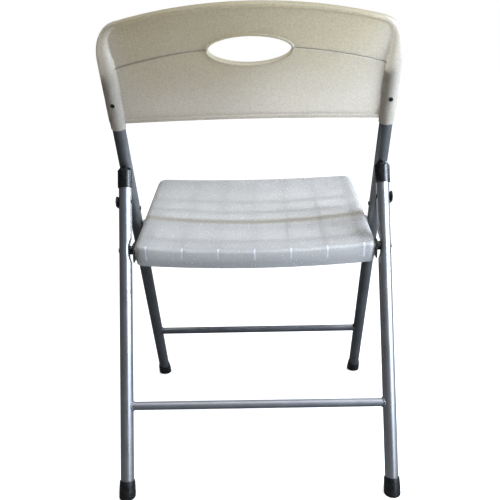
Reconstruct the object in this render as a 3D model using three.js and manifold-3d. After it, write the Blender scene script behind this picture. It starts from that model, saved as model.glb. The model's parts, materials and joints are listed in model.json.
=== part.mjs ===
import * as THREE from 'three';
import { mergeVertices } from 'three/addons/utils/BufferGeometryUtils.js';
import Module from 'manifold-3d';

// Folding chair. Millimetres, +Z up, front of the chair towards -Y, mirror plane X = 0.
// Origin on the floor under the middle of the chair's outline.

// Frame tubes
const HALF_SPACING = 222;        // mirror plane to every leg axis
const FRONT_FOOT_Y = -231.1;     // where the leg axes meet the floor
const REAR_FOOT_Y = 231.9;
const MAIN_LEAN = rad(27);       // main tube leans back going up
const REAR_LEAN = rad(19.2);     // rear leg leans forward going up
const TUBE_R = 11.1;             // 7/8 inch tube
const TUBE_WALL = 1.2;
const BAR_R = 7;
const BAR_WALL = 1.2;
const GAP = 0.3;                 // clearance left between touching pieces
const MAIN_TOP = 764;            // distances along a tube are measured from the floor
const REAR_TOP = 541;
const TUBE_BOTTOM = 12;
const FRONT_BAR_AT = 148;
const REAR_BAR_AT = 150;

// Pivots, as distances along their tube
const LINK_ON_MAIN = 499;
const SEAT_ON_MAIN = 459.5;
const SEAT_ON_REAR = 415;
const LINK_ON_REAR = 499;
const RIVET_R = 3;
const PIN_R = 4;
const HEAD_R = 4.2;
const HEAD_T = 1.4;
const PIN_HEAD_R = 5;            // flat heads that the link straps pass over
const PIN_HEAD_T = 0.9;
const WASHER_R = 7.5;
const HOLE_FROM = 200;           // cross holes run from inside a leg to outside it
const HOLE_TO = 245;
const DIMPLE_DEPTH = 4.5;        // flat pressed in the rear leg where the seat pin passes
const DIMPLE_HALF = 22;

// Link straps
const LINK_INNER = 235.2;        // mirror plane to the strap's inner face
const LINK_T = 2;
const LINK_HALF_W = 9.5;

// Feet and leg caps
const FOOT_R = 13.8;
const FOOT_TOP = 27;
const CAP_R = 12.9;
const CAP_FROM = 523;
const CAP_TO = 562;

// Seat, in a frame on the seat pivot axis that tilts with the seat
const SEAT_TILT = rad(9.6);
const SEAT_HALF_W = 207;
const SEAT_FRONT = -214;
const SEAT_REAR = 130;
const SEAT_TOP = 13.5;
const SEAT_RISE = 5.5;           // front edge over the rear edge
const SEAT_ROLL = 3;             // drop of the front lip
const SEAT_ROLL_FROM = 45;
const SEAT_SKIN = 3;
const SEAT_SKIRT = 36.5;
const SKIRT_ARCH = 2.5;          // the skirt is this much shallower in the middle
const SEAT_EDGE_R = 7;
const SEAT_CORNER_FRONT = 17;
const SEAT_CORNER_REAR = 14;
const RIB_T = 2.2;
const LONG_RIBS = [-186, -124, -62, 0, 62, 124, 186];
const CROSS_RIBS = [-102, -52, 85];
const LONG_RIB_DEPTH = 18;
const CROSS_RIB_DEPTH = 12;
const BOSS_R = 9;
const BOSS_FROM = 196;
const BOSS_TO = 210.3;
const BRACKET_T = 1.4;
const CROSS_BAR_R = 6;
const CROSS_BAR_HALF = 196;
const CROSS_BAR_DROP = 15.5;

// Backrest, in the plane of the main tubes: X across, n to the rear, s along the tubes
const BACK_BOW = 18;
const BACK_SKIN = 3.2;
const BACK_HALF_W = 235.5;
const BACK_TOP = 882;
const BACK_TOP_R = 656;
const BACK_CORNER_X = 195;
const BACK_SIDE_TOP = 790;
const BACK_BOTTOM_SIDE = 679.5;
const BACK_BOTTOM_MID = 695;
const RIM_W = 6;
const RIM_FORWARD = 9;
const RIM_PROUD = 1.5;
const HOLE_S = 811;
const HOLE_A = 63;
const HOLE_B = 22.5;
const LIP_W = 4;
const CREASE_S = 816.7;
const CREASE_R = 583;
const CREASE_TO = 212;
const CREASE_HALF = 1.2;
const CREASE_DEPTH = 1;
const SOCKET_PROFILE = [
  [672, 12.4], [700, 12.8], [735, 13.6], [775, 13.6], [800, 12.2], [820, 9], [834, 5.5], [842, 2.5],
];
const SCREW_AT = 720;
const SCREW_HOLE_R = 2.3;
const STOCK_FROM = 640;          // the panel is cut from a bowed slab between these
const STOCK_TO = 900;

const wasm = await Module();
wasm.setup();

function rad(degrees) {
  return degrees * Math.PI / 180;
}

function toSolid(geometry) {
  const bare = geometry.clone();
  bare.deleteAttribute('normal');
  bare.deleteAttribute('uv');
  const merged = mergeVertices(bare, 1e-4);
  return new wasm.Manifold(new wasm.Mesh({
    numProp: 3,
    vertProperties: new Float32Array(merged.attributes.position.array),
    triVerts: new Uint32Array(merged.index.array),
  }));
}

function toGeometry(solid) {
  const mesh = solid.getMesh();
  const geometry = new THREE.BufferGeometry();
  geometry.setAttribute('position', new THREE.BufferAttribute(new Float32Array(mesh.vertProperties), 3));
  geometry.setIndex(new THREE.BufferAttribute(new Uint32Array(mesh.triVerts), 1));
  geometry.computeVertexNormals();
  return geometry;
}

function subtract(geometry, ...tools) {
  let solid = toSolid(geometry);
  for (const tool of tools) {
    solid = solid.subtract(toSolid(tool));
  }
  return toGeometry(solid);
}

function intersect(a, b) {
  return toGeometry(toSolid(a).intersect(toSolid(b)));
}

function unite(geometries) {
  let solid = toSolid(geometries[0]);
  for (const other of geometries.slice(1)) {
    solid = solid.add(toSolid(other));
  }
  return toGeometry(solid);
}

// Frames of the inclined pieces
function ontoMain(geometry, x = 0) {
  return geometry.clone().rotateX(-MAIN_LEAN).translate(x, FRONT_FOOT_Y, 0);
}

function ontoRear(geometry, x = 0) {
  return geometry.clone().rotateX(REAR_LEAN).translate(x, REAR_FOOT_Y, 0);
}

function mainPoint(along) {
  return new THREE.Vector2(FRONT_FOOT_Y + along * Math.sin(MAIN_LEAN), along * Math.cos(MAIN_LEAN));
}

function rearPoint(along) {
  return new THREE.Vector2(REAR_FOOT_Y - along * Math.sin(REAR_LEAN), along * Math.cos(REAR_LEAN));
}

const LINK_FRONT = mainPoint(LINK_ON_MAIN);
const SEAT_PIVOT = mainPoint(SEAT_ON_MAIN);
const SEAT_REAR_PIVOT = rearPoint(SEAT_ON_REAR);
const LINK_REAR = rearPoint(LINK_ON_REAR);

function ontoSeat(geometry) {
  return geometry.clone().rotateX(-SEAT_TILT).translate(0, SEAT_PIVOT.x, SEAT_PIVOT.y);
}

// Solid turned about Z from [radius, height] points
function turned(points, segments = 28) {
  const outline = points.map(([radius, height]) => new THREE.Vector2(radius, height));
  return new THREE.LatheGeometry(outline, segments).rotateX(Math.PI / 2);
}

function rod(radius, from, to, segments = 28) {
  return turned([[0, from], [radius, from], [radius, to], [0, to]], segments);
}

function pipe(outer, inner, from, to, segments = 28) {
  return turned([[inner, from], [outer, from], [outer, to], [inner, to], [inner, from]], segments);
}

// Turned solid whose axis runs along X through a point of the YZ plane
function alongX(points, at, side, segments = 18) {
  const solid = turned(points.map(([r, x]) => [r, x]), segments).rotateY(Math.PI / 2);
  if (side < 0) {
    solid.rotateZ(Math.PI);
  }
  return solid.translate(0, at.x, at.y);
}

function crossHole(radius, at, side, from = HOLE_FROM, to = HOLE_TO) {
  return alongX([[0, from], [radius, from], [radius, to], [0, to]], at, side);
}

// Closed solid through rings that all have the same number of points
function loft(rings) {
  const count = rings[0].length;
  const positions = rings.flatMap((ring) => ring.flatMap((p) => [p.x, p.y, p.z]));
  const indices = [];
  for (let r = 0; r + 1 < rings.length; r += 1) {
    for (let i = 0; i < count; i += 1) {
      const a = r * count + i;
      const b = r * count + (i + 1) % count;
      indices.push(a, b, b + count, a, b + count, a + count);
    }
  }
  for (const [ringIndex, flip] of [[0, true], [rings.length - 1, false]]) {
    const ring = rings[ringIndex];
    const centre = ring.reduce((sum, p) => sum.add(p), new THREE.Vector3()).divideScalar(count);
    const hub = positions.length / 3;
    positions.push(centre.x, centre.y, centre.z);
    for (let i = 0; i < count; i += 1) {
      const a = ringIndex * count + i;
      const b = ringIndex * count + (i + 1) % count;
      indices.push(...(flip ? [b, a, hub] : [a, b, hub]));
    }
  }
  const geometry = new THREE.BufferGeometry();
  geometry.setAttribute('position', new THREE.Float32BufferAttribute(positions, 3));
  geometry.setIndex(indices);
  return geometry;
}

function prism(shape, from, to, curveSegments = 12) {
  const settings = { depth: to - from, bevelEnabled: false, curveSegments };
  return new THREE.ExtrudeGeometry(shape, settings).translate(0, 0, from);
}

function box(width, depth, height, x, y, z) {
  return new THREE.BoxGeometry(width, depth, height).translate(x, y, z);
}

// Frame pieces
function mainTube(side) {
  const x = side * HALF_SPACING;
  const screwHole = rod(SCREW_HOLE_R, 0, 20, 16).rotateX(-Math.PI / 2).translate(0, 0, SCREW_AT);
  const tube = subtract(pipe(TUBE_R, TUBE_R - TUBE_WALL, TUBE_BOTTOM, MAIN_TOP, 28), screwHole);
  return subtract(
    ontoMain(tube, x),
    crossHole(RIVET_R + GAP, LINK_FRONT, side),
    crossHole(PIN_R + GAP, SEAT_PIVOT, side),
  );
}

// The rear leg is pressed flat on its inner side round the seat pin
function rearTube(side) {
  const stations = [TUBE_BOTTOM, SEAT_ON_REAR - DIMPLE_HALF];
  for (let k = 1; k < 6; k += 1) {
    stations.push(SEAT_ON_REAR - DIMPLE_HALF + 2 * DIMPLE_HALF * k / 6);
  }
  stations.push(SEAT_ON_REAR + DIMPLE_HALF, REAR_TOP);
  const count = 24;
  const ring = (radius, station) => {
    const reach = Math.min(1, Math.abs(station - SEAT_ON_REAR) / DIMPLE_HALF);
    const flat = radius - DIMPLE_DEPTH * (1 - reach ** 4);
    return Array.from({ length: count }, (_, i) => {
      const turn = 2 * Math.PI * i / count;
      const across = Math.max(radius * Math.cos(turn), -flat);
      return new THREE.Vector3(side * across, side * radius * Math.sin(turn), station);
    });
  };
  const outer = loft(stations.map((s) => ring(TUBE_R, s)));
  const reach = stations.map((s, k) => {
    const last = stations.length - 1;
    return ring(TUBE_R - TUBE_WALL, k === 0 ? s - 5 : k === last ? s + 5 : s);
  });
  return subtract(
    ontoRear(subtract(outer, loft(reach)), side * HALF_SPACING),
    crossHole(RIVET_R + GAP, SEAT_REAR_PIVOT, side),
    crossHole(RIVET_R + GAP, LINK_REAR, side),
  );
}

// Crossbar with both ends coped round the legs
function crossbar(at, onto) {
  const reach = HALF_SPACING - 3;
  const bar = pipe(BAR_R, BAR_R - BAR_WALL, -reach, reach, 28).rotateY(Math.PI / 2);
  const legs = [-1, 1].map((side) => onto(rod(TUBE_R + GAP, 0, 300, 36), side * HALF_SPACING));
  return subtract(bar.translate(0, at.x, at.y), ...legs);
}

function foot(onto, side) {
  const cup = turned([
    [0, -14], [FOOT_R, -14], [FOOT_R, 8], [FOOT_R - 0.9, FOOT_TOP - 3],
    [FOOT_R - 1.4, FOOT_TOP - 0.8], [TUBE_R + GAP + 0.5, FOOT_TOP], [TUBE_R + GAP, FOOT_TOP - 0.4],
    [TUBE_R + GAP, TUBE_BOTTOM - GAP], [0, TUBE_BOTTOM - GAP],
  ], 28);
  const floor = box(200, 200, 60, side * HALF_SPACING, 0, -30);
  floor.translate(0, onto === ontoMain ? FRONT_FOOT_Y : REAR_FOOT_Y, 0);
  return subtract(onto(cup, side * HALF_SPACING), floor);
}

// Cap on the rear leg: barrel sleeve with a rounded top, hollowed where it bears on the main tube
function legCap(side) {
  const x = side * HALF_SPACING;
  const bore = TUBE_R + GAP;
  const sleeve = turned([
    [bore, CAP_FROM], [CAP_R - 0.4, CAP_FROM], [CAP_R, CAP_FROM + 2], [CAP_R, CAP_TO - 9.5],
    [CAP_R - 1.5, CAP_TO - 7.5], [CAP_R - 6, CAP_TO - 1.8], [0, CAP_TO],
    [0, REAR_TOP + GAP], [bore, REAR_TOP + GAP], [bore, CAP_FROM],
  ], 28);
  return subtract(ontoRear(sleeve, x), ontoMain(rod(TUBE_R + GAP, 400, 760, 36), x));
}

// Pivots
function linkFrontRivet(side) {
  const inner = HALF_SPACING - TUBE_R - GAP;
  const outer = LINK_INNER + LINK_T + GAP;
  return alongX([
    [0, inner - HEAD_T], [HEAD_R - 1.2, inner - HEAD_T], [HEAD_R, inner - 0.5], [HEAD_R, inner],
    [RIVET_R, inner], [RIVET_R, outer], [HEAD_R, outer], [HEAD_R, outer + 0.6],
    [HEAD_R - 1.2, outer + HEAD_T], [0, outer + HEAD_T],
  ], LINK_FRONT, side);
}

function linkWasher(side) {
  const from = HALF_SPACING + TUBE_R + GAP;
  const to = LINK_INNER - GAP;
  const bore = RIVET_R + GAP;
  const ring = [[bore, from], [WASHER_R, from], [WASHER_R, to], [bore, to], [bore, from]];
  return alongX(ring, LINK_FRONT, side);
}

// The loop is open here: the strap's rivet stops at the leg's surface
function linkRearRivet(side) {
  const from = HALF_SPACING + TUBE_R + GAP;
  const outer = LINK_INNER + LINK_T + GAP;
  return alongX([
    [0, from], [WASHER_R, from], [WASHER_R, LINK_INNER - GAP], [RIVET_R, LINK_INNER - GAP],
    [RIVET_R, outer], [HEAD_R, outer], [HEAD_R, outer + 0.6],
    [HEAD_R - 1.2, outer + HEAD_T], [0, outer + HEAD_T],
  ], LINK_REAR, side);
}

function linkRearPin(side) {
  const inner = HALF_SPACING - TUBE_R - GAP;
  return alongX([
    [0, inner - HEAD_T], [HEAD_R - 1.2, inner - HEAD_T], [HEAD_R, inner - 0.5], [HEAD_R, inner],
    [RIVET_R, inner], [RIVET_R, HALF_SPACING + TUBE_R - 0.5], [0, HALF_SPACING + TUBE_R - 0.5],
  ], LINK_REAR, side);
}

function linkStrap(side) {
  const length = LINK_FRONT.distanceTo(LINK_REAR);
  const shape = new THREE.Shape();
  shape.absarc(0, 0, LINK_HALF_W, Math.PI / 2, Math.PI * 1.5, false);
  shape.absarc(length, 0, LINK_HALF_W, -Math.PI / 2, Math.PI / 2, false);
  for (const x of [0, length]) {
    const hole = new THREE.Path();
    hole.absarc(x, 0, RIVET_R + GAP, 0, Math.PI * 2, true);
    shape.holes.push(hole);
  }
  const plate = prism(shape, 0, LINK_T, 9);
  const run = new THREE.Vector2().subVectors(LINK_REAR, LINK_FRONT).divideScalar(length);
  const basis = new THREE.Matrix4().makeBasis(
    new THREE.Vector3(0, run.x, run.y),
    new THREE.Vector3(0, -run.y, run.x),
    new THREE.Vector3(1, 0, 0),
  );
  const x = side > 0 ? LINK_INNER : -LINK_INNER - LINK_T;
  return plate.applyMatrix4(basis).translate(x, LINK_FRONT.x, LINK_FRONT.y);
}

function seatPivotPin(side) {
  const outer = HALF_SPACING + TUBE_R + GAP;
  return alongX([
    [0, SEAT_HALF_W - 3], [PIN_R, SEAT_HALF_W - 3], [PIN_R, outer], [PIN_HEAD_R, outer],
    [PIN_HEAD_R, outer + 0.4], [PIN_HEAD_R - 1, outer + PIN_HEAD_T], [0, outer + PIN_HEAD_T],
  ], SEAT_PIVOT, side);
}

function seatRearPin(side) {
  const outer = HALF_SPACING + TUBE_R + GAP;
  return alongX([
    [0, SEAT_HALF_W - 2], [RIVET_R, SEAT_HALF_W - 2], [RIVET_R, outer], [HEAD_R, outer],
    [HEAD_R, outer + 0.4], [HEAD_R - 1, outer + PIN_HEAD_T], [0, outer + PIN_HEAD_T],
  ], SEAT_REAR_PIVOT, side);
}

// Bracket between the seat's side and the rear leg: a plate with a bushing
function seatBracket(side) {
  const from = SEAT_HALF_W + GAP;
  const front = -17;
  const rear = 10;
  const low = -21;
  const high = 12;
  const corner = 4;
  const plate = new THREE.Shape();
  plate.moveTo(front + corner, low);
  plate.lineTo(rear - corner, low);
  plate.quadraticCurveTo(rear, low, rear, low + corner);
  plate.lineTo(rear, high - corner);
  plate.quadraticCurveTo(rear, high, rear - corner, high);
  plate.lineTo(front + corner, high);
  plate.quadraticCurveTo(front, high, front, high - corner);
  plate.lineTo(front, low + corner);
  plate.quadraticCurveTo(front, low, front + corner, low);
  const solid = prism(plate, from, from + BRACKET_T, 5);
  const basis = new THREE.Matrix4().makeBasis(
    new THREE.Vector3(0, 1, 0),
    new THREE.Vector3(0, 0, 1),
    new THREE.Vector3(1, 0, 0),
  );
  solid.applyMatrix4(basis);
  if (side < 0) {
    solid.translate(-2 * from - BRACKET_T, 0, 0);
  }
  solid.translate(0, SEAT_REAR_PIVOT.x, SEAT_REAR_PIVOT.y);
  const start = from + BRACKET_T / 2;
  const end = HALF_SPACING - TUBE_R + DIMPLE_DEPTH - GAP;
  const sleeve = [[0, start], [WASHER_R, start], [WASHER_R, end], [0, end]];
  const bushing = alongX(sleeve, SEAT_REAR_PIVOT, side);
  return subtract(unite([solid, bushing]), crossHole(RIVET_R + GAP, SEAT_REAR_PIVOT, side));
}

// Seat
function seatOutline(inset) {
  const half = SEAT_HALF_W - inset;
  const front = SEAT_FRONT + inset;
  const rear = SEAT_REAR - inset;
  const points = [];
  const corner = (cx, cy, radius, start) => {
    for (let k = 0; k <= 4; k += 1) {
      const turn = start + Math.PI / 2 * k / 4;
      points.push(new THREE.Vector2(cx + radius * Math.cos(turn), cy + radius * Math.sin(turn)));
    }
  };
  const edge = (ax, ay, bx, by, count) => {
    for (let k = 1; k < count; k += 1) {
      points.push(new THREE.Vector2(ax + (bx - ax) * k / count, ay + (by - ay) * k / count));
    }
  };
  const rearR = Math.max(SEAT_CORNER_REAR - inset, 1);
  const frontR = Math.max(SEAT_CORNER_FRONT - inset, 1);
  corner(half - rearR, rear - rearR, rearR, 0);
  edge(half - rearR, rear, -half + rearR, rear, 10);
  corner(-half + rearR, rear - rearR, rearR, Math.PI / 2);
  edge(-half, rear - rearR, -half, front + frontR, 6);
  corner(-half + frontR, front + frontR, frontR, Math.PI);
  edge(-half + frontR, front, half - frontR, front, 10);
  corner(half - frontR, front + frontR, frontR, Math.PI * 1.5);
  edge(half, front + frontR, half, rear - rearR, 6);
  // the rear edge bulges a little towards the middle
  return points.map((p) => {
    const back = Math.max(0, (p.y - SEAT_FRONT) / (SEAT_REAR - SEAT_FRONT));
    return new THREE.Vector2(p.x, p.y + 4 * back ** 3 * (1 - (p.x / SEAT_HALF_W) ** 2));
  });
}

// Share of the way from the middle to the side, squared
function outwards(x) {
  return Math.min(1, Math.abs(x) / SEAT_HALF_W) ** 2;
}

function seatSurface(x, y) {
  const t = Math.min(1, Math.max(0, (SEAT_REAR - y) / (SEAT_REAR - SEAT_FRONT)));
  const sag = (10 + 25 * t - 30 * t * t) * (1 - outwards(x));
  const roll = SEAT_ROLL * Math.max(0, 1 - (y - SEAT_FRONT) / SEAT_ROLL_FROM) ** 2;
  return SEAT_TOP + SEAT_RISE * t - sag - roll;
}

// Closed layer of the seat between two depths under its surface, with rounded top edges
function seatLayer(inset, topDepth, bottomDepth, edgeR, bottomRings) {
  const middle = (SEAT_FRONT + SEAT_REAR) / 2;
  const ring = (extra, scale, depthAt) => seatOutline(inset + extra).map((p) => {
    const x = p.x * scale;
    const y = middle + (p.y - middle) * scale;
    return new THREE.Vector3(x, y, seatSurface(x, y) - depthAt(x));
  });
  const low = (x) => bottomDepth - SKIRT_ARCH * (1 - outwards(x));
  const rings = bottomRings.map((scale) => ring(0, scale, low));
  for (const turn of [0, 30, 60, 90]) {
    const extra = edgeR * (1 - Math.cos(rad(turn)));
    rings.push(ring(extra, 1, () => topDepth + edgeR * (1 - Math.sin(rad(turn)))));
  }
  for (const scale of [0.86, 0.72, 0.56, 0.38, 0.18]) {
    rings.push(ring(edgeR, scale, () => topDepth));
  }
  return loft(rings);
}

function crossBarCurve(reach) {
  const points = [];
  for (let k = -8; k <= 8; k += 1) {
    const x = reach * k / 8;
    const drop = CROSS_BAR_DROP * (1 - Math.min(1, Math.abs(x) / CROSS_BAR_HALF) ** 2);
    points.push(new THREE.Vector3(x, 0, -drop));
  }
  return new THREE.CatmullRomCurve3(points);
}

function curvedBar(radius, reach, steps) {
  const shape = new THREE.Shape();
  shape.absarc(0, 0, radius, 0, Math.PI * 2, false);
  const settings = { steps, bevelEnabled: false, curveSegments: 9, extrudePath: crossBarCurve(reach) };
  return new THREE.ExtrudeGeometry(shape, settings);
}

function seatPanel() {
  const shell = subtract(
    seatLayer(0, 0, SEAT_SKIRT, SEAT_EDGE_R, [1]),
    seatLayer(SEAT_SKIN, SEAT_SKIN, SEAT_SKIRT + 20, SEAT_EDGE_R - SEAT_SKIN, [1]),
  );
  const depth = SEAT_REAR - SEAT_FRONT + 20;
  const middle = (SEAT_FRONT + SEAT_REAR) / 2;
  const longRibs = LONG_RIBS.map((x) => box(RIB_T, depth, 100, x, middle, 0));
  const crossRibs = CROSS_RIBS.map((y) => box(2 * SEAT_HALF_W + 20, RIB_T, 100, 0, y, 0));
  const ribs = unite([
    intersect(unite(longRibs), seatLayer(1.5, 1.5, LONG_RIB_DEPTH, 4, [0.5, 1])),
    intersect(unite(crossRibs), seatLayer(1.5, 1.5, CROSS_RIB_DEPTH, 4, [0.5, 1])),
  ]);
  const notch = curvedBar(CROSS_BAR_R + GAP, CROSS_BAR_HALF, 16);
  const pivot = new THREE.Vector2(0, 0);
  const bosses = [-1, 1].map((side) => alongX([
    [0, BOSS_FROM], [BOSS_R, BOSS_FROM], [BOSS_R, BOSS_TO], [0, BOSS_TO],
  ], pivot, side, 28));
  const rearPivot = new THREE.Vector2().subVectors(SEAT_REAR_PIVOT, SEAT_PIVOT).rotateAround(
    new THREE.Vector2(), SEAT_TILT,
  );
  const bores = [-1, 1].flatMap((side) => [
    crossHole(PIN_R + GAP, pivot, side, BOSS_FROM + 3, HOLE_TO),
    crossHole(RIVET_R + GAP, rearPivot, side, 190, HOLE_TO),
    crossHole(CROSS_BAR_R + GAP, pivot, side, 185, BOSS_FROM + 1),
  ]);
  const panel = subtract(unite([shell, subtract(ribs, notch), ...bosses]), ...bores);
  return ontoSeat(panel);
}

function seatCrossBar() {
  return ontoSeat(curvedBar(CROSS_BAR_R, CROSS_BAR_HALF, 16));
}

// Backrest, built in X, n, s and then laid along the main tubes
function bow(x) {
  return BACK_BOW * (1 - Math.min(1.2, Math.abs(x) / HALF_SPACING) ** 2);
}

function bowedSlab(forward, rearward) {
  const shape = new THREE.Shape();
  const steps = 28;
  const xs = Array.from({ length: steps + 1 }, (_, k) => -245 + 490 * k / steps);
  xs.forEach((x, k) => (k === 0 ? shape.moveTo(x, bow(x) - forward) : shape.lineTo(x, bow(x) - forward)));
  xs.reverse().forEach((x) => shape.lineTo(x, bow(x) + rearward));
  return prism(shape, STOCK_FROM, STOCK_TO);
}

// Prism of an X, s outline running through the panel along n
function across(shape, curveSegments) {
  return prism(shape, -60, 60, curveSegments).rotateX(Math.PI / 2);
}

function backOutline(inset) {
  const half = BACK_HALF_W - inset;
  const cornerX = BACK_CORNER_X - inset;
  const centre = BACK_TOP - BACK_TOP_R;
  const radius = BACK_TOP_R - inset;
  const angle = Math.acos(cornerX / radius);
  const cornerS = centre + radius * Math.sin(angle);
  const side = BACK_BOTTOM_SIDE + inset;
  const middle = 2 * (BACK_BOTTOM_MID + inset) - side;
  const shape = new THREE.Shape();
  shape.moveTo(-half + 2, side);
  shape.quadraticCurveTo(0, middle, half - 2, side);
  shape.lineTo(half, 715);
  shape.lineTo(half, BACK_SIDE_TOP);
  shape.quadraticCurveTo(half, BACK_TOP - 39 - inset, cornerX, cornerS);
  shape.absarc(0, centre, radius, angle, Math.PI - angle, false);
  shape.quadraticCurveTo(-half, BACK_TOP - 39 - inset, -half, BACK_SIDE_TOP);
  shape.lineTo(-half, 715);
  shape.closePath();
  return shape;
}

function ellipse(a, b) {
  const shape = new THREE.Shape();
  shape.absellipse(0, HOLE_S, a, b, 0, Math.PI * 2, false);
  return shape;
}

function creaseBand(side) {
  const shape = new THREE.Shape();
  const steps = 12;
  const xs = Array.from({ length: steps + 1 }, (_, k) => HOLE_A + (CREASE_TO - HOLE_A) * k / steps);
  const at = (x) => CREASE_S - x * x / (2 * CREASE_R);
  xs.forEach((x, k) => {
    const s = at(x) - CREASE_HALF;
    return k === 0 ? shape.moveTo(side * x, s) : shape.lineTo(side * x, s);
  });
  xs.reverse().forEach((x) => shape.lineTo(side * x, at(x) + CREASE_HALF));
  return shape;
}

function backrest() {
  const rear = BACK_SKIN / 2;
  const outline = across(backOutline(0), 16);
  const skin = intersect(bowedSlab(rear, rear), outline);
  const frame = subtract(outline, across(backOutline(RIM_W), 16));
  const rim = intersect(bowedSlab(RIM_FORWARD, rear + RIM_PROUD), frame);
  const hole = across(ellipse(HOLE_A, HOLE_B), 20);
  const lipRing = subtract(across(ellipse(HOLE_A + LIP_W, HOLE_B + LIP_W), 20), hole);
  const lip = intersect(bowedSlab(RIM_FORWARD, rear + RIM_PROUD), lipRing);
  const sockets = [-1, 1].map((side) => {
    const points = [[0, SOCKET_PROFILE[0][0]], ...SOCKET_PROFILE.map(([s, r]) => [r, s]), [0, 844]];
    return turned(points, 32).translate(side * HALF_SPACING, 0, 0);
  });
  const creases = [-1, 1].map((side) => intersect(
    across(creaseBand(side), 4), bowedSlab(-(rear - CREASE_DEPTH), 40),
  ));
  const bores = [-1, 1].flatMap((side) => [
    rod(TUBE_R + GAP, STOCK_FROM, MAIN_TOP + GAP, 36).translate(side * HALF_SPACING, 0, 0),
    rod(SCREW_HOLE_R, 0, 30, 16).rotateX(-Math.PI / 2).translate(side * HALF_SPACING, 0, SCREW_AT),
  ]);
  const body = subtract(unite([skin, rim]), hole, ...creases);
  return ontoMain(subtract(unite([body, lip, ...sockets]), ...bores));
}

function backrestScrew(side) {
  const seatAt = 13.5;
  const screw = turned([
    [0, 7.5], [2, 7.5], [2, seatAt], [3.6, seatAt],
    [3.6, seatAt + 0.8], [2.6, seatAt + 1.9], [0, seatAt + 1.9],
  ], 20).rotateX(-Math.PI / 2).translate(0, 0, SCREW_AT);
  return ontoMain(screw, side * HALF_SPACING);
}

// Colours
const PAINT = { color: 0x565b60, roughness: 0.4, metalness: 0.7 };
const SILVER = { color: 0x9a9da0, roughness: 0.35, metalness: 0.8 };
const BLACK_PLASTIC = { color: 0x16171a, roughness: 0.5, metalness: 0 };
const BLACK_STEEL = { color: 0x1b1c1f, roughness: 0.45, metalness: 0.6 };
const ZINC = { color: 0x8d9094, roughness: 0.35, metalness: 0.9 };
const BACK_PLASTIC = { color: 0xc9c2ae, roughness: 0.45, metalness: 0 };
const SEAT_PLASTIC = { color: 0xc8c9cb, roughness: 0.45, metalness: 0 };

const chair = new THREE.Group();
chair.name = 'folding_chair';

function addNode(name, geometry, look) {
  const mesh = new THREE.Mesh(geometry, new THREE.MeshStandardMaterial(look));
  mesh.name = name;
  chair.add(mesh);
}

addNode('front_crossbar', crossbar(mainPoint(FRONT_BAR_AT), ontoMain), PAINT);
addNode('rear_crossbar', crossbar(rearPoint(REAR_BAR_AT), ontoRear), SILVER);
addNode('backrest', backrest(), BACK_PLASTIC);
addNode('seat_panel', seatPanel(), SEAT_PLASTIC);
addNode('seat_cross_bar', seatCrossBar(), ZINC);

// The chair faces -Y, so its own left is +X
for (const [hand, side] of [['left', 1], ['right', -1]]) {
  addNode(`${hand}_main_tube`, mainTube(side), PAINT);
  addNode(`${hand}_rear_leg`, rearTube(side), SILVER);
  addNode(`${hand}_front_foot`, foot(ontoMain, side), BLACK_PLASTIC);
  addNode(`${hand}_rear_foot`, foot(ontoRear, side), BLACK_PLASTIC);
  addNode(`${hand}_rear_leg_cap`, legCap(side), BLACK_PLASTIC);
  addNode(`${hand}_backrest_screw`, backrestScrew(side), BLACK_STEEL);
  addNode(`${hand}_link_strap`, linkStrap(side), BLACK_STEEL);
  addNode(`${hand}_link_front_rivet`, linkFrontRivet(side), BLACK_STEEL);
  addNode(`${hand}_link_washer`, linkWasher(side), BLACK_PLASTIC);
  addNode(`${hand}_link_rear_rivet`, linkRearRivet(side), BLACK_STEEL);
  addNode(`${hand}_link_rear_pin`, linkRearPin(side), BLACK_STEEL);
  addNode(`${hand}_seat_pivot_pin`, seatPivotPin(side), ZINC);
  addNode(`${hand}_seat_bracket`, seatBracket(side), BLACK_STEEL);
  addNode(`${hand}_seat_rear_pin`, seatRearPin(side), ZINC);
}

export default chair;
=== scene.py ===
import json
import math

import bmesh
import bpy
import numpy as np
from mathutils import Matrix, Vector, noise


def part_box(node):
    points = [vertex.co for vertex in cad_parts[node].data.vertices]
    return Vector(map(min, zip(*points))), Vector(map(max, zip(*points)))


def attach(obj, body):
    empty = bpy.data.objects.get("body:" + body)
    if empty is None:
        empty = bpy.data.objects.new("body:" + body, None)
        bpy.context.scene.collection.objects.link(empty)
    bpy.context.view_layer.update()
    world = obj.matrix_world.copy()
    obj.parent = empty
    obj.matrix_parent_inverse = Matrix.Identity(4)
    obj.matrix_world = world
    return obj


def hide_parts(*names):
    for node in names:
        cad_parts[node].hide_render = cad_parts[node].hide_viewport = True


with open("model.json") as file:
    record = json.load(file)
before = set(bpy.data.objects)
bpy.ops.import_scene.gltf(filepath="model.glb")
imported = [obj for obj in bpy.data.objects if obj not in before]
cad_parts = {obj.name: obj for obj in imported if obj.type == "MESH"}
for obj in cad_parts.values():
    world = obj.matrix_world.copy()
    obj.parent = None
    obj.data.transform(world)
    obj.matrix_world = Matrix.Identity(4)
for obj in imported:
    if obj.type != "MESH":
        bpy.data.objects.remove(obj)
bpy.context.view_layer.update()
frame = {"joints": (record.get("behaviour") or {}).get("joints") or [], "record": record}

# Folding chair with a steel tube frame and a moulded translucent seat and back.
# Shapes are in millimetres, as in the CAD source, and every placing matrix turns them into metres.
MM = 0.001
SIDES = (("left", 1), ("right", -1))     # the chair faces -Y, so its own left is +X


def yz(point):
    """The point's place in the mirror plane, in millimetres."""
    return Vector((0, point[1], point[2])) / MM


def node_centre(node):
    low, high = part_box(node)
    return (low + high) / 2


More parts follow.
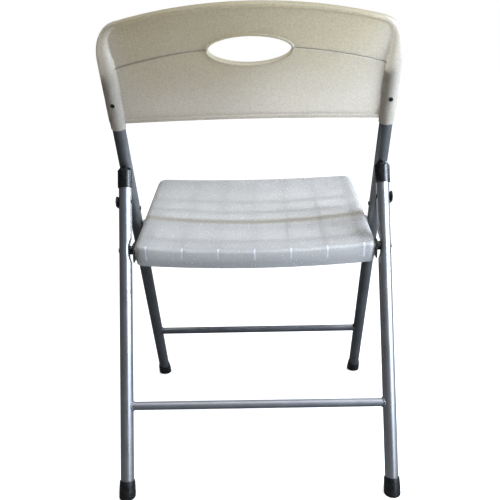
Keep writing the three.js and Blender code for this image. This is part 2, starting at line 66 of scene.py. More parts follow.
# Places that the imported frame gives
MOUNTS = {mount["name"]: mount["pos_m"] for mount in frame["record"]["mounts"]}
PIVOTS = {joint["name"]: joint["pos_m"] for joint in frame["joints"]}
HALF_SPACING = MOUNTS["left_front_foot_face"][0] / MM
FRONT_FOOT = yz(MOUNTS["left_front_foot_face"])
REAR_FOOT = yz(MOUNTS["left_rear_foot_face"])
SEAT_PIVOT = yz(PIVOTS["seat_fold"])
SEAT_REAR_PIVOT = yz(PIVOTS["rear_leg_fold"])
LINK_FRONT = yz(PIVOTS["left_link_fold"])
LINK_REAR = yz(node_centre("left_link_rear_rivet"))
FRONT_BAR = yz(node_centre("front_crossbar"))
REAR_BAR = yz(node_centre("rear_crossbar"))

# Tubes
TUBE_R = 11.1
TUBE_WALL = 1.2
TUBE_FROM = 12
MAIN_TO = 764
REAR_TO = 541
BAR_R = 7
BAR_SINK = 0.5                   # how far a bar's end reaches into the leg
DIMPLE_DEPTH = 4.5
DIMPLE_HALF = 22
GAP = 0.3

# Pivots
RIVET_R = 3
PIN_R = 4
HEAD_R = 4.2
HEAD_T = 1.4
PIN_HEAD_R = 5
PIN_HEAD_T = 0.9
WASHER_R = 7.5
STRAP_INNER = 235.2
STRAP_T = 2
STRAP_HALF_W = 9.5
STRAP_CUT = (230, 245)           # reach of the cutters, outward from the mirror plane
HOLE_FROM = 190
HOLE_TO = 250
SEAT_HOLE_TO = 215
BAR_SEAT_FROM = 185

# Feet and leg caps
FOOT_R = 13.8
FOOT_TOP = 27
FOOT_FROM = -16                  # before the floor cuts it
FOOT_TAPER_FROM = 8
FOOT_EDGE = 0.9
CAP_R = 12.9
CAP_FROM = 523
CAP_TO = 562
CAP_CUT = (400, 760)             # along the main tube that the cap bears on

# Seat, measured from its pivot axis in a frame that tilts with it
SEAT_TILT = math.radians(9.6)
SEAT_HALF_W = 207
SEAT_FRONT = -214
SEAT_REAR = 130
SEAT_MIDDLE = (SEAT_FRONT + SEAT_REAR) / 2
SEAT_TOP = 13.5
SEAT_RISE = 5.5
SEAT_ROLL = 3
SEAT_ROLL_FROM = 45
SEAT_SKIN = 3
SEAT_SKIRT = 36.5
SKIRT_ARCH = 2.5
SEAT_CORNER_FRONT = 17
SEAT_CORNER_REAR = 14
SEAT_DRAFT = 1.4
SEAT_BULGE = 4                   # of the rear edge
SEAT_SIDE_EDGE = (13, 8)         # reach across and down of the rounded edge at the sides
SEAT_END_EDGE = (6, 6)           # and at the front and the rear
SEAT_TOP_SCALES = (              # how far the rings of the top reach from the middle
    0.985, 0.96, 0.92, 0.88, 0.83, 0.78, 0.72, 0.66, 0.6,
    0.54, 0.47, 0.4, 0.33, 0.26, 0.19, 0.12, 0.06, 0.02,
)
RIB_T = 2.2
RIB_LEVELS = (-60, 40)           # before the ribs are cut to the seat's form
LONG_RIBS = (-186, -124, -62, 0, 62, 124, 186)
CROSS_RIBS = (-102, -52, 85)
LONG_RIB_DEPTH = 18
CROSS_RIB_DEPTH = 12
BOSS_R = 9
BOSS_FROM = 196
BOSS_TO = 210.3
CROSS_BAR_R = 6
CROSS_BAR_HALF = 196
CROSS_BAR_DROP = 15.5
BRACKET_T = 1.4

# Backrest: x across, n out of its plane to the rear, s along the main tubes from the floor
BACK_BOW = 18
BACK_SKIN = 3.2
BACK_HALF_W = 235.5
BACK_TOP = 882
BACK_TOP_R = 656
BACK_CORNER_X = 195
BACK_SIDE_TOP = 790
BACK_BOTTOM_SIDE = 679.5
BACK_BOTTOM_MID = 695
RIM_W = 6
RIM_FORWARD = 9
RIM_PROUD = 1.5
HOLE_S = 811
HOLE_A = 63
HOLE_B = 22.5
LIP_W = 4
SLEEVE_FROM = 672
SLEEVE_TO = 710
SLEEVE_BORE_FROM = 650
SLEEVE_R = 12.7
COLUMN_R = 13.6
CREASE_S = 816.7
CREASE_R = 583
CREASE_TO = 212
SCREW_AT = 720
SCREW_HOLE_R = 2.3
SCREW_FROM = 7.5
SCREW_R = 2
SCREW_HEAD_R = 3.6
SLOT_LONG = (-2.1, 2.1)
SLOT_WIDE = (-0.35, 0.35)
SHARP_FROM = 38                  # degrees between faces that are shaded apart

# Painted marks, in metres: where each fades out from its line, and where it fades in going up
CREASE_FADE = (0.0005, 0.0017)
RIB_FADE = (0.0007, 0.002)
RIB_FADE_UP = (-0.015, -0.010)
BAR_FADE = (0.004, 0.014)
BAR_FADE_UP = (-0.012, -0.008)
WALL_FADE_UP = (-0.02, 0.008)
WALL_LEFT = 0.1                  # share of the tint left at the top of the wall
YELLOW_FULL = 0.84
YELLOW_FADE = (0.185, 0.215)
YELLOW_LEFT = 0.15               # and at the backrest's sides

# Camera and light
CAMERA_PLACE = (-0.01156, 1.15287, 0.68846)
CAMERA_TURN = (74.139, 1.385, -179.331)
CAMERA_LENS = 46.08
CAMERA_SENSOR = 36
LIGHTS = (                       # name, place, aim, size, power, colour
    ("window", (-1.75, 1.15, 0.85), (0, 0.1, 0.45), (2.2, 1.7), 35, (0.79, 0.9, 1.06)),
    ("near_window", (-0.85, 0.45, 0.75), (-0.23, 0.0, 0.7), (0.4, 0.6), 14, (0.81, 0.92, 1.07)),
    ("side_glow", (-0.85, -0.4, 0.85), (-0.24, -0.05, 0.72), (0.5, 0.5), 7, (0.82, 0.92, 1.05)),
    ("glow", (-0.42, -1.9, 0.35), (-0.2, 0, 0.6), (0.8, 0.7), 4, (0.85, 0.95, 1.0)),
)
SUN = (1.95, 45, (0.05, -0.05, -1))      # strength, angle, direction
FLOOR_HALF = 40


# ------ frames of the inclined parts

def basis(x_axis, y_axis, z_axis, origin):
    """Matrix from a part's own millimetres to the chair's metres."""
    turn = Matrix((x_axis, y_axis, z_axis)).transposed().to_4x4()
    return Matrix.Translation(origin * MM) @ turn @ Matrix.Scale(MM, 4)


def leg_frame(foot, pivot):
    along = (pivot - foot).normalized()
    across = Vector((1, 0, 0))
    return basis(across, along.cross(across), along, foot)


MAIN = leg_frame(FRONT_FOOT, LINK_FRONT)
MAIN_TURN = MAIN.to_euler().x
REAR = leg_frame(REAR_FOOT, LINK_REAR)
SEAT = (
    Matrix.Translation(SEAT_PIVOT * MM) @ Matrix.Rotation(-SEAT_TILT, 4, "X") @ Matrix.Scale(MM, 4)
)


def leg_at(side, up=0):
    """Move from the mirror plane to one side's legs, and up along them."""
    return Matrix.Translation((side * HALF_SPACING, 0, up))


def pin_frame(point, side):
    """Frame whose Z runs outward along X from the mirror plane, through a point of it."""
    outward = Vector((side, 0, 0))
    return basis(Vector((0, side, 0)), Vector((0, 0, 1)), outward, point)


def local(matrix, point):
    """A chair point in millimetres, seen from a part's frame."""
    return matrix.inverted() @ (point * MM)


# ------ mesh tools

def skin(rings, closed=False):
    """Quads through rings of equal length; the end rings are capped, or joined if closed."""
    bm = bmesh.new()
    rows = [[bm.verts.new(point) for point in ring] for ring in rings]
    pairs = list(zip(rows, rows[1:]))
    if closed:
        pairs.append((rows[-1], rows[0]))
    else:
        bm.faces.new(rows[0][::-1])
        bm.faces.new(rows[-1])
    count = len(rows[0])
    for low, high in pairs:
        for i in range(count):
            j = (i + 1) % count
            bm.faces.new((low[i], low[j], high[j], high[i]))
    bmesh.ops.recalc_face_normals(bm, faces=bm.faces)
    return bm


def circle(radius, height, segments):
    turns = (2 * math.pi * k / segments for k in range(segments))
    return [Vector((radius * math.cos(t), radius * math.sin(t), height)) for t in turns]


def rounded(points, radius, closed=True, steps=4):
    """Outline whose corners are turned into curves that start one radius before each corner."""
    points = [Vector(point) for point in points]
    out = []
    for k, corner in enumerate(points):
        if not closed and k in (0, len(points) - 1):
            out.append(corner)
            continue
        before = points[k - 1] - corner
        after = points[(k + 1) % len(points)] - corner
        start = corner + before.normalized() * min(radius, before.length * 0.45)
        end = corner + after.normalized() * min(radius, after.length * 0.45)
        for step in range(steps + 1):
            t = step / steps
            out.append(start * (1 - t) ** 2 + corner * 2 * t * (1 - t) + end * t ** 2)
    return out


def lathe(profile, soften=0.3, closed=False, segments=64):
    """Solid turned about Z from (radius, height) points, with softened corners."""
    profile = rounded(profile, soften, closed)
    return skin([circle(point[0], point[1], segments) for point in profile], closed)


def rod(radius, low, high, segments=48):
    return lathe([(radius, low), (radius, high)], 0, segments=segments)


def pipe(outer, inner, low, high, segments=64):
    return lathe([(inner, low), (outer, low), (outer, high), (inner, high)], 0.4, True, segments)


def plate(outline, low, high, soften):
    """Flat plate of an (x, y) outline between two heights, with softened edges."""
    outline = [Vector((point[0], point[1])) for point in outline]
    count = len(outline)
    inward = []
    for k in range(count):
        run = (outline[(k + 1) % count] - outline[k - 1]).normalized()
        inward.append(Vector((-run.y, run.x)))
    rings = []
    turns = (90, 60, 30, 0)
    for height, turn in [(low, t) for t in turns] + [(high, t) for t in turns[::-1]]:
        inset = soften * (1 - math.cos(math.radians(turn)))
        lift = soften * (1 - math.sin(math.radians(turn)))
        level = height + lift if height == low else height - lift
        rings.append([(*(point + step * inset), level) for point, step in zip(outline, inward)])
    return skin(rings)


def block(x_range, y_range, z_range):
    corners = [(x, y) for x, y in zip((0, 1, 1, 0), (0, 0, 1, 1))]
    return skin([[(x_range[i], y_range[j], z) for i, j in corners] for z in z_range])


def sweep(path, radii, segments=16, closed=False):
    """Round bar along a path; radii is one number or one for each point."""
    count = len(path)
    if not hasattr(radii, "__len__"):
        radii = [radii] * count
    rings = []
    normal = None
    for k, point in enumerate(path):
        ahead = path[(k + 1) % count] if closed or k + 1 < count else path[k]
        behind = path[k - 1] if closed or k > 0 else path[0]
        along = (ahead - behind).normalized()
        if normal is None:
            normal = along.orthogonal().normalized()
        normal = (normal - along * normal.dot(along)).normalized()
        across = along.cross(normal)
        turns = [2 * math.pi * i / segments for i in range(segments)]
        rings.append([point + (normal * math.cos(t) + across * math.sin(t)) * radii[k] for t in turns])
    return skin(rings, closed)


def link_in(made):
    bpy.context.scene.collection.objects.link(made)
    return made


def temporary(bm):
    mesh = bpy.data.meshes.new("temporary")
    bm.to_mesh(mesh)
    bm.free()
    return link_in(bpy.data.objects.new("temporary", mesh))


def combine(base, *steps):
    """Base solid after each (operation, solid) step: UNION, DIFFERENCE or INTERSECT."""
    target = temporary(base)
    tools = []
    for operation, solid in steps:
        tool = temporary(solid)
        tools.append(tool)
        modifier = target.modifiers.new("step", "BOOLEAN")
        modifier.operation = operation
        modifier.solver = "MANIFOLD"
        modifier.object = tool
    result = bmesh.new()
    result.from_object(target, bpy.context.evaluated_depsgraph_get())
    for spare in [target, *tools]:
        mesh = spare.data
        bpy.data.objects.remove(spare)
        bpy.data.meshes.remove(mesh)
    return result


def moved(bm, matrix):
    bmesh.ops.transform(bm, matrix=matrix, verts=bm.verts)
    if matrix.determinant() < 0:
        bmesh.ops.reverse_faces(bm, faces=bm.faces)
    return bm


def across_hole(radius, point, side, low=HOLE_FROM, high=HOLE_TO):
    """Cutter along X through a point of the mirror plane, in the part frame that the point is given in."""
    turn = Matrix.Rotation(math.radians(90), 4, "Y")
    centre = Matrix.Translation((0, point.y, point.z))
    cutter = rod(radius, low, high, 32)
    return moved(cutter, centre @ (turn if side > 0 else turn.inverted()))


def make(name, bm, matrix, body, look, nodes):
    """Shown piece from a solid in a part's frame; it rides on a body and stands for its CAD nodes."""
    moved(bm, matrix)
    mesh = bpy.data.meshes.new(name)
    bm.to_mesh(mesh)
    bm.free()
    mesh.materials.append(look)
    mesh.shade_smooth()
    mesh.set_sharp_from_angle(angle=math.radians(SHARP_FROM))
    piece = link_in(bpy.data.objects.new(name, mesh))
    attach(piece, body)
    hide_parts(*nodes)


# ------ materials

def new_look(name):
    look = bpy.data.materials.new(name)
    look.use_nodes = True
    tree = look.node_tree
    place = tree.nodes.new("ShaderNodeTexCoord").outputs["Object"]
    return look, tree, tree.nodes["Principled BSDF"], place


def put(tree, value, socket):
    """Link an output to an input, or set the input to a plain value."""
    if isinstance(value, bpy.types.NodeSocket):
        tree.links.new(value, socket)
    else:
        socket.default_value = value


def add(tree, kind, inputs=(), **settings):
    node = tree.nodes.new(kind)
    for key, value in settings.items():
        setattr(node, key, value)
    for key, value in dict(inputs).items():
        put(tree, value, node.inputs[key])
    return node


def noise_of(tree, place, scale, detail=2.0, stretch=None):
    """Noise value, 0 to 1, of a pattern about 1/scale metres across."""
    if stretch:
        place = add(tree, "ShaderNodeMapping", {"Vector": place, "Scale": stretch}).outputs["Vector"]
    made = add(tree, "ShaderNodeTexNoise", {"Vector": place, "Scale": scale, "Detail": detail})
    return made.outputs["Fac"]


def ramp(tree, value, low, high, start, end):
    """Value mapped from start..end to low..high."""
    made = add(tree, "ShaderNodeMapRange", {
        "Value": value, "From Min": start, "From Max": end, "To Min": low, "To Max": high,
    })
    return made.outputs["Result"]


def mix(tree, factor, one, two):
    made = add(tree, "ShaderNodeMix", data_type="RGBA")
    for key, value in ((0, factor), (6, one), (7, two)):
        put(tree, value, made.inputs[key])
    return made.outputs[2]


def math_of(tree, operation, *values):
    return add(tree, "ShaderNodeMath", dict(enumerate(values)), operation=operation).outputs[0]


def product(tree, one, two):
    return math_of(tree, "MULTIPLY", one, two)


def size_of(tree, value):
    return math_of(tree, "ABSOLUTE", value)


def bumped(tree, shader, height, strength, distance):
    bump = add(tree, "ShaderNodeBump", {"Height": height, "Strength": strength, "Distance": distance})
    tree.links.new(bump.outputs["Normal"], shader.inputs["Normal"])


def grey(value, tint=(1, 1, 1)):
    return tuple(value * part for part in tint) + (1,)


def painted_steel(name, dark, light, tint, metallic, rough):
    """Satin powder coat: soft mottling, orange peel and a few dull rubbed patches."""
    look, tree, shader, place = new_look(name)
    cloud = noise_of(tree, place, 22, 3)
    fleck = noise_of(tree, place, 1500, 2)
    shade = mix(tree, ramp(tree, cloud, 0, 1, 0.35, 0.65), grey(dark, tint), grey(light, tint))
    fine = mix(tree, ramp(tree, fleck, 0, 0.22, 0.4, 0.7), shade, grey(light * 1.5, tint))
    tree.links.new(fine, shader.inputs["Base Color"])
    shader.inputs["Metallic"].default_value = metallic
    rubbed = noise_of(tree, place, 60, 4, (1, 1, 0.25))
    tree.links.new(ramp(tree, rubbed, rough - 0.05, rough + 0.08, 0.3, 0.75), shader.inputs["Roughness"])
    bumped(tree, shader, noise_of(tree, place, 620, 2), 0.22, 0.00012)
    return look


def plain_steel(name, tint, rough, metallic):
    """Plated steel with a cloudy finish and fine turning marks."""
    look, tree, shader, place = new_look(name)
    cloud = noise_of(tree, place, 180, 3)
    shade = mix(tree, cloud, grey(0.8, tint), grey(1.15, tint))
    put(tree, shade, shader.inputs["Base Color"])
    shader.inputs["Metallic"].default_value = metallic
    tree.links.new(ramp(tree, cloud, rough - 0.06, rough + 0.1, 0.3, 0.7), shader.inputs["Roughness"])
    bumped(tree, shader, noise_of(tree, place, 900, 3), 0.2, 0.00008)
    return look


def black_plastic(name, value, rough):
    """Moulded black plastic with a fine grain and faint scuffs."""
    look, tree, shader, place = new_look(name)
    scuff = noise_of(tree, place, 130, 5)
    shade = mix(tree, ramp(tree, scuff, 0, 1, 0.5, 0.8), grey(value), grey(value * 2.4))
    put(tree, shade, shader.inputs["Base Color"])
    tree.links.new(ramp(tree, scuff, rough, rough + 0.2, 0.45, 0.75), shader.inputs["Roughness"])
    bumped(tree, shader, noise_of(tree, place, 1400, 2), 0.18, 0.0001)
    return look


def part_axes(tree, place, origin, lean):
    """The coordinates of an inclined part's own frame, in metres."""
    turned = add(tree, "ShaderNodeMapping", {
        "Vector": place, "Location": origin * MM, "Rotation": (lean, 0, 0),
    }, vector_type="TEXTURE")
    return add(tree, "ShaderNodeSeparateXYZ", {0: turned.outputs[0]}).outputs


def crease_shade(tree, place):
    """1 in the backrest's two creases, which are drawn darker."""
    x, n, s = part_axes(tree, place, FRONT_FOOT, MAIN_TURN)
    drop = product(tree, product(tree, x, x), 0.5 / (CREASE_R * MM))
    off = math_of(tree, "SUBTRACT", math_of(tree, "ADD", s, drop), CREASE_S * MM)
    line = ramp(tree, size_of(tree, off), 1, 0, *CREASE_FADE)
    reach = ramp(tree, size_of(tree, x), 1, 0, (CREASE_TO - 3) * MM, CREASE_TO * MM)
    outside = ramp(tree, size_of(tree, x), 0, 1, HOLE_A * MM, (HOLE_A + 2) * MM)
    return product(tree, line, product(tree, reach, outside))


def rear_wall(tree, y):
    """1 in the skin of the seat's rear wall."""
    return ramp(tree, y, 0, 1, (SEAT_REAR - 7) * MM, (SEAT_REAR - 4) * MM)


def painted_rib_glow(tree, place):
    """1 where a rib's end meets the seat's rear wall, drawn as a pale line: painted light, for light
    scattered in the rib's end.
    """
    x, y, z = part_axes(tree, place, SEAT_PIVOT, -SEAT_TILT)
    pitch = (LONG_RIBS[1] - LONG_RIBS[0]) * MM
    away = math_of(tree, "PINGPONG", x, pitch / 2)
    line = ramp(tree, away, 1, 0, *RIB_FADE)
    above = ramp(tree, z, 0, 1, *RIB_FADE_UP)
    return product(tree, line, product(tree, rear_wall(tree, y), above))


def yellower_top(tree, place):
    """1 in the upper part of the backrest, which is given a yellower tint."""
    x, n, s = part_axes(tree, place, FRONT_FOOT, MAIN_TURN)
    patchy = ramp(tree, noise_of(tree, place, 7, 3), -0.03, 0.03, 0.3, 0.7)
    high = ramp(tree, math_of(tree, "ADD", s, patchy), 0, 1, BACK_BOTTOM_SIDE * MM + 0.04, YELLOW_FULL)
    return product(tree, high, ramp(tree, size_of(tree, x), 1, YELLOW_LEFT, *YELLOW_FADE))


def bar_shade(tree, place):
    """1 over the bar under the seat, on the pivot line, where the skin is drawn darker."""
    x, y, z = part_axes(tree, place, SEAT_PIVOT, -SEAT_TILT)
    line = ramp(tree, size_of(tree, y), 1, 0, *BAR_FADE)
    return product(tree, line, ramp(tree, z, 0, 1, *BAR_FADE_UP))


def wall_shade(tree, place):
    """1 at the foot of the seat's rear wall, which is given a darker tint."""
    x, y, z = part_axes(tree, place, SEAT_PIVOT, -SEAT_TILT)
    return product(tree, rear_wall(tree, y), ramp(tree, z, 1, WALL_LEFT, *WALL_FADE_UP))


def milky_plastic(name, tint, clear, glow, rough, grain, marks):
    """Translucent polypropylene: what touches it shows through, and light from behind makes it glow.

    The grain says how dark the fine speckle is. Each mark is a mask, the colour it gives
    and the share of the clearness it takes away.
    """
    look, tree, shader, place = new_look(name)
    flow = noise_of(tree, place, 9, 4, (0.5, 1, 1))
    speck = noise_of(tree, place, 330, 3)
    colour = mix(tree, ramp(tree, flow, 0, 1, 0.3, 0.7), grey(0.95, tint), grey(1.05, tint))
    clearness = clear
    for mask_of, mark_tint, blocked in marks:
        mask = mask_of(tree, place)
        colour = mix(tree, mask, colour, mark_tint)
        clearness = product(tree, clearness, ramp(tree, mask, 1, 1 - blocked, 0, 1))
    dots = ramp(tree, speck, 1 + grain, 1 - grain, 0.3, 0.7)
    colour = add(tree, "ShaderNodeVectorMath", {0: colour, 1: dots}, operation="MULTIPLY").outputs[0]
    tree.links.new(colour, shader.inputs["Base Color"])
    put(tree, clearness, shader.inputs["Transmission Weight"])
    shader.inputs["IOR"].default_value = 1.49
    tree.links.new(ramp(tree, speck, rough - 0.02, rough + 0.02, 0.3, 0.7), shader.inputs["Roughness"])
    bumped(tree, shader, noise_of(tree, place, 480, 3), 0.03, 0.0001)
    milk = add(tree, "ShaderNodeBsdfTranslucent", {"Color": colour})
    both = add(tree, "ShaderNodeMixShader", {0: glow, 1: shader.outputs[0], 2: milk.outputs[0]})
    tree.links.new(both.outputs[0], tree.nodes["Material Output"].inputs["Surface"])
    return look


# Main tubes and front bar: the silver paint darkened, as painted shade for the less light they catch
SHADED_SILVER_PAINT = painted_steel("silver_paint_painted_shade", 0.15, 0.19, (0.96, 0.99, 1.04), 0.7, 0.36)
SILVER_PAINT = painted_steel("silver_paint", 0.44, 0.50, (0.985, 0.995, 1.02), 0.85, 0.3)
# Rear crossbar: the silver paint darkened as painted shade and made rougher, so that its highlight is
# dulled
SHADED_BAR_PAINT = painted_steel("silver_bar_paint_painted_shade", 0.30, 0.35, (0.97, 0.99, 1.05), 0.75, 0.5)
BLACK_PLASTIC = black_plastic("black_plastic", 0.010, 0.26)
BLACK_STEEL = painted_steel("black_steel", 0.02, 0.03, (1, 1, 1), 0.5, 0.34)
ZINC = plain_steel("zinc_steel", (0.5, 0.5, 0.5), 0.3, 1)
YELLOW_ZINC = plain_steel("yellow_zinc_steel", (0.17, 0.135, 0.07), 0.45, 0.5)
BACK_PLASTIC = milky_plastic("back_plastic", (0.71, 0.665, 0.59), 0.48, 0.3, 0.34, 0.12, [
    # upper part of the backrest drawn darker and yellower
    (yellower_top, grey(1, (0.66, 0.60, 0.455)), 0.0),
    (crease_shade, grey(0.42, (1, 0.93, 0.82)), 0.8),
])
SEAT_PLASTIC = milky_plastic("seat_plastic", (0.73, 0.72, 0.705), 0.5, 0.17, 0.26, 0.03, [
    (wall_shade, grey(0.57), 0.3),
    (bar_shade, grey(0.52, (1, 0.94, 0.82)), 0.3),
    # pale lines of painted light where the ribs meet the rear wall
    (painted_rib_glow, grey(0.95, (0.97, 0.99, 1)), 0.8),
])


# ------ frame tubes

def main_tube(side):
    holes = [
        ("DIFFERENCE", across_hole(radius, local(MAIN, point), side))
        for radius, point in ((RIVET_R + GAP, LINK_FRONT), (PIN_R + GAP, SEAT_PIVOT))
    ]
    tube = moved(pipe(TUBE_R, TUBE_R - TUBE_WALL, TUBE_FROM, MAIN_TO), leg_at(side))
    return combine(tube, *holes)


def rear_tube(side):
    """Tube pressed flat on its inner side round the seat pin."""
    seat_at = local(REAR, SEAT_REAR_PIVOT).z
    steps = 24
    levels = [TUBE_FROM, TUBE_FROM + 0.4]
    levels += [seat_at + DIMPLE_HALF * (2 * k / steps - 1) for k in range(steps + 1)]
    levels += [REAR_TO - 0.4, REAR_TO]
    x = side * HALF_SPACING

    def ring(radius, level):
        reach = min(1.0, abs(level - seat_at) / DIMPLE_HALF)
        pressed = DIMPLE_DEPTH * (1 - reach ** 4) ** 2
        blend = 0.01 + 4 * min(1.0, pressed)
        points = []
        for point in circle(radius, level, 96):
            inner = -point.x * side
            flat = radius - pressed
            inner = min(inner, flat) - max(0.0, blend - abs(inner - flat)) ** 2 / (4 * blend)
            points.append(Vector((x - side * inner, point.y, level)))
        return points

    lip = [0.4, 0] + [0] * (steps + 1) + [0, 0.4]
    outer = [ring(TUBE_R - cut, level) for cut, level in zip(lip, levels)]
    inner = [ring(TUBE_R - TUBE_WALL + cut / 2, level) for cut, level in zip(lip, levels)]
    tube = skin(outer + inner[::-1], closed=True)
    holes = [
        ("DIFFERENCE", across_hole(RIVET_R + GAP, local(REAR, point), side))
        for point in (SEAT_REAR_PIVOT, LINK_REAR)
    ]
    return combine(tube, *holes)


def crossbar(matrix, centre):
    """Bar whose ends are coped into the legs, with a rippled weld bead round each joint."""
    at = local(matrix, centre)
    segments = 48
    turns = [2 * math.pi * k / segments for k in range(segments)]

    def end_ring(side):
        ring = []
        for turn in turns:
            n = BAR_R * math.cos(turn)
            x = side * (HALF_SPACING - math.sqrt((TUBE_R - BAR_SINK) ** 2 - n ** 2))
            ring.append(Vector((x, at.y + n, at.z + BAR_R * math.sin(turn))))
        return ring

    stations = [-1 + 2 * k / 24 for k in range(1, 24)]
    reach = HALF_SPACING - TUBE_R
    middle = [
        [Vector((reach * f, at.y + BAR_R * math.cos(t), at.z + BAR_R * math.sin(t))) for t in turns]
        for f in stations
    ]
    bm = skin([end_ring(-1), *middle, end_ring(1)])
    beads = []
    for side in (-1, 1):
        path = []
        sizes = []
        for k in range(96):
            turn = 2 * math.pi * k / 96
            n = (BAR_R + 0.5) * math.cos(turn)
            x = side * (HALF_SPACING - math.sqrt((TUBE_R + 0.4) ** 2 - n ** 2))
            path.append(Vector((x, at.y + n, at.z + (BAR_R + 0.5) * math.sin(turn))))
            lump = noise.noise(Vector((math.cos(turn) * 2, math.sin(turn) * 2, side * 3.7)))
            sizes.append(1.25 + 0.14 * math.sin(turn * 22) + 0.35 * lump)
        beads.append(("UNION", sweep(path, sizes, 12, closed=True)))
    return combine(bm, *beads)


def foot(matrix, side):
    """Rubber cup on the tube's end, cut level with the floor and softened along the cut."""
    bore = TUBE_R + GAP
    profile = [
        (0.5, FOOT_FROM), (FOOT_R, FOOT_FROM), (FOOT_R, FOOT_TAPER_FROM),
        (FOOT_R - 0.5, FOOT_TOP - 7), (FOOT_R - 1.1, FOOT_TOP),
        (bore, FOOT_TOP), (bore, TUBE_FROM - GAP), (0.5, TUBE_FROM - GAP),
    ]
    bm = moved(lathe(profile, 1.1), matrix @ leg_at(side))
    geometry = bm.verts[:] + bm.edges[:] + bm.faces[:]
    cut = bmesh.ops.bisect_plane(
        bm, geom=geometry, plane_co=(0, 0, 0), plane_no=(0, 0, -1), clear_outer=True,
    )
    rim = [item for item in cut["geom_cut"] if isinstance(item, bmesh.types.BMEdge)]
    bmesh.ops.contextual_create(bm, geom=rim)
    bmesh.ops.bevel(
        bm, geom=rim, offset=FOOT_EDGE * MM, segments=4, profile=0.5, affect="EDGES",
        clamp_overlap=True,
    )
    bmesh.ops.recalc_face_normals(bm, faces=bm.faces)
    return bm


def leg_cap(side):
    """Barrel cap with a domed top, hollowed where it bears on the main tube."""
    bore = TUBE_R + GAP
    profile = [
        (bore, CAP_FROM), (CAP_R - 0.2, CAP_FROM), (CAP_R, CAP_FROM + 3), (CAP_R, CAP_TO - 8.6),
        (CAP_R - 1.6, CAP_TO - 7.4), (CAP_R - 4.4, CAP_TO - 3.2), (CAP_R - 8, CAP_TO - 0.6), (0.4, CAP_TO),
    ]
    inside = [(bore, CAP_FROM - 5), (bore, REAR_TO + GAP)]
    place = REAR @ leg_at(side)
    cap = lathe([(0.4, CAP_FROM), *profile], 1.2)
    hollow = lathe([(0.4, CAP_FROM - 5), *inside, (0.4, REAR_TO + GAP)], 0.2)
    main_place = place.inverted() @ (MAIN @ leg_at(side))
    tube = moved(rod(bore, *CAP_CUT, 96), main_place)
    return combine(cap, ("DIFFERENCE", hollow), ("DIFFERENCE", tube))


# ------ pivots

def domed_head(low, radius, height, shank, start):
    """Profile of a rivet: shank from start, then a domed head that sits at low."""
    return [
        (0.2, start), (shank, start), (shank, low), (radius, low), (radius, low + height * 0.35),
        (radius * 0.8, low + height * 0.85), (radius * 0.35, low + height), (0.2, low + height),
    ]


def through_rivet(inner, outer, shank, radius, height):
    """Rivet with a domed head at each end."""
    return [
        (0.2, inner - height), (radius * 0.4, inner - height), (radius * 0.82, inner - height * 0.8),
        (radius, inner - height * 0.3), (radius, inner), (shank, inner),
        *domed_head(outer, radius, height, shank, inner)[2:],
    ]


def link_front_rivet():
    return lathe(through_rivet(
        HALF_SPACING - TUBE_R - GAP, STRAP_INNER + STRAP_T + GAP, RIVET_R, HEAD_R, HEAD_T,
    ), 0.5, segments=40)


def link_washer():
    low = HALF_SPACING + TUBE_R + GAP
    high = STRAP_INNER - GAP
    bore = RIVET_R + GAP
    return lathe([(bore, low), (WASHER_R, low), (WASHER_R, high), (bore, high)], 0.4, True, 40)


def link_rear_rivet():
    """The linkage is open here, so this half of the rivet stops at the leg's surface."""
    low = HALF_SPACING + TUBE_R + GAP
    step = STRAP_INNER - GAP
    head = domed_head(STRAP_INNER + STRAP_T + GAP, HEAD_R, HEAD_T, RIVET_R, low)
    base = [(0.2, low), (WASHER_R, low), (WASHER_R, step), (RIVET_R, step)]
    return lathe([*base, *head[2:]], 0.5, segments=40)


def link_rear_pin():
    inner = HALF_SPACING - TUBE_R - GAP
    end = HALF_SPACING + TUBE_R - 0.5
    return lathe([
        (0.2, inner - HEAD_T), (HEAD_R * 0.4, inner - HEAD_T), (HEAD_R * 0.82, inner - HEAD_T * 0.8),
        (HEAD_R, inner - 0.5), (HEAD_R, inner), (RIVET_R, inner), (RIVET_R, end), (0.2, end),
    ], 0.5, segments=40)


def headed_pin(start, shank, radius):
    """Pin from inside the seat's side, with a flat head on the tube's outer face."""
    low = HALF_SPACING + TUBE_R + GAP
    return lathe(domed_head(low, radius, PIN_HEAD_T, shank, start), 0.3, segments=40)


def strap_frame(side):
    """Frame with X along the strap from its front rivet and Z outward."""
    run = (LINK_REAR - LINK_FRONT).normalized()
    outward = Vector((side, 0, 0))
    return basis(run, outward.cross(run), outward, LINK_FRONT)


def link_strap():
    length = (LINK_REAR - LINK_FRONT).length
    outline = []
    for centre, start in ((length, -90), (0, 90)):
        for k in range(25):
            turn = math.radians(start + 180 * k / 24)
            outline.append((centre + STRAP_HALF_W * math.cos(turn), STRAP_HALF_W * math.sin(turn)))
    bar = plate(outline, STRAP_INNER, STRAP_INNER + STRAP_T, 0.5)
    holes = [
        ("DIFFERENCE", moved(rod(RIVET_R + GAP, *STRAP_CUT), Matrix.Translation((x, 0, 0))))
        for x in (0, length)
    ]
    return combine(bar, *holes)


def seat_bracket():
    """Plate under the seat's rear corner with the bushing that turns in the rear leg."""
    low = SEAT_HALF_W + GAP
    corners = [(-17, -21), (10, -21), (10, 12), (-17, 12)]
    web = plate(rounded(corners, 5, steps=8), low, low + BRACKET_T, 0.4)
    end = HALF_SPACING - TUBE_R + DIMPLE_DEPTH - GAP
    start = low + BRACKET_T / 2
    bushing = lathe([(0.3, start), (WASHER_R, start), (WASHER_R, end), (0.3, end)], 0.5, segments=48)
    bore = rod(RIVET_R + GAP, low - 5, end + 5)
    return combine(web, ("UNION", bushing), ("DIFFERENCE", bore))


def bracket_frame(side):
    """Z outward, and X to the rear on both sides of the chair."""
    return basis(Vector((0, 1, 0)), Vector((0, 0, 1)), Vector((side, 0, 0)), SEAT_REAR_PIVOT)


# ------ seat

